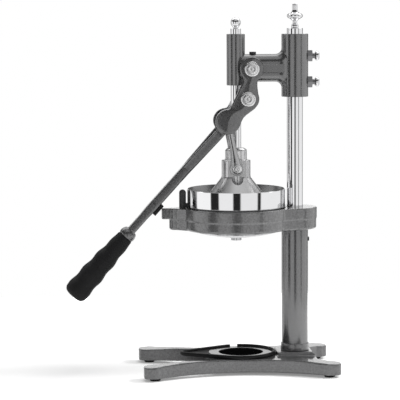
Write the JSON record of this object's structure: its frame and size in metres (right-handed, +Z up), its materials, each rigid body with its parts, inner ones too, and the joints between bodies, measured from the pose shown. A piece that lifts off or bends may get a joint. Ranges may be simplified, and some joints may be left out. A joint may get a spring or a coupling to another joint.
{
  "type": "lever citrus juice press",
  "caption": "Upright lever juice press: column on a wide footed base, ring with juicer cup and spout, and a forked hand lever that drives a guided press bell.",
  "frame": {"origin": "on the floor, at the middle of the whole outline seen from above", "axes": "+Z up the column, +X from the grip towards the column, +Y to the back"},
  "size_m": [0.377, 0.171, 0.5152],
  "materials": {
    "hammer_paint": "grey hammertone enamel over cast iron",
    "gloss_paint": "smooth glossy grey enamel",
    "chrome": "polished chrome plate",
    "steel": "bright zinc-plated and stainless steel",
    "cast_aluminium": "fine matt cast aluminium",
    "bronze": "sintered bronze",
    "black_rubber": "matt black rubber",
    "black_plastic": "fine-grained black plastic",
    "dark_steel": "blackened steel"
  },
  "bodies": {
    "stand": {"base_casting": "hammer_paint", "rubber_feet": "black_rubber", "foot_screws": "steel", "post_tube": "gloss_paint", "post_collar": "gloss_paint", "column_rod": "chrome", "column_washer": "steel", "column_nut": "steel", "post_set_screw": "dark_steel", "cup_ring": "hammer_paint", "head_casting": "gloss_paint", "guide_bush_upper": "bronze", "guide_bush_lower": "bronze", "clamp_lock_nuts": "dark_steel", "finial": "chrome", "arm_screw": "dark_steel", "fulcrum_bush": "bronze", "fulcrum_washers": "steel"},
    "lever": {"lever": "hammer_paint", "retainer_front": "steel", "retainer_rear": "steel", "cheek_bolts": "steel", "grip": "black_rubber", "bumper": "black_rubber", "bumper_pin": "dark_steel", "fulcrum_bolt": "steel", "fulcrum_nut": "steel"},
    "press": {"presser": "cast_aluminium", "guide_rod": "chrome", "ball_knob": "chrome", "link_bolts": "steel"},
    "link_front": {"link_front": "cast_aluminium", "link_pin_front": "steel"},
    "link_rear": {"link_rear": "cast_aluminium", "link_pin_rear": "steel"},
    "cup": {"funnel": "chrome", "strainer": "steel", "reamer": "cast_aluminium", "cup_peg": "dark_steel"},
    "tray": {"drip_tray": "black_plastic"},
    "clamp_screw_upper": {"clamp_screw_upper": "chrome"},
    "clamp_screw_lower": {"clamp_screw_lower": "chrome"}
  },
  "joints": [
    {"name": "lever_swing", "type": "hinge", "parent": "stand", "child": "lever", "pos_m": [0.07071, 0, 0.4249], "axis": [0, 1, 0], "range_deg": [0, 40]},
    {"name": "press_slide", "type": "slide", "parent": "stand", "child": "press", "axis": [0, 0, 1], "range_m": [0, 0.0574]},
    {"name": "link_front_swing", "type": "hinge", "parent": "press", "child": "link_front", "pos_m": [0.05051, -0.018, 0.2858], "axis": [0, 1, 0], "range_deg": [-40, 0]},
    {"name": "link_rear_swing", "type": "hinge", "parent": "press", "child": "link_rear", "pos_m": [0.05051, 0.018, 0.2858], "axis": [0, 1, 0], "range_deg": [-40, 0]},
    {"name": "cup_turn", "type": "hinge", "parent": "stand", "child": "cup", "pos_m": [0.05051, 0, 0.23], "axis": [0, 0, 1], "range_deg": [-150, 150]},
    {"name": "tray_lift", "type": "slide", "parent": "stand", "child": "tray", "axis": [0, 0, 1], "range_m": [0, 0.1]},
    {"name": "clamp_upper_turn", "type": "hinge", "parent": "stand", "child": "clamp_screw_upper", "pos_m": [0.15551, 0, 0.4422], "axis": [1, 0, 0], "continuous": true},
    {"name": "clamp_lower_turn", "type": "hinge", "parent": "stand", "child": "clamp_screw_lower", "pos_m": [0.15551, 0, 0.4058], "axis": [1, 0, 0], "continuous": true}
  ],
  "couplings": [
    {"joint": "press_slide", "follows": "lever_swing", "m_per_rad": 0.082},
    {"joint": "link_front_swing", "follows": "lever_swing", "ratio": -0.99},
    {"joint": "link_rear_swing", "follows": "lever_swing", "ratio": -0.99}
  ]
}
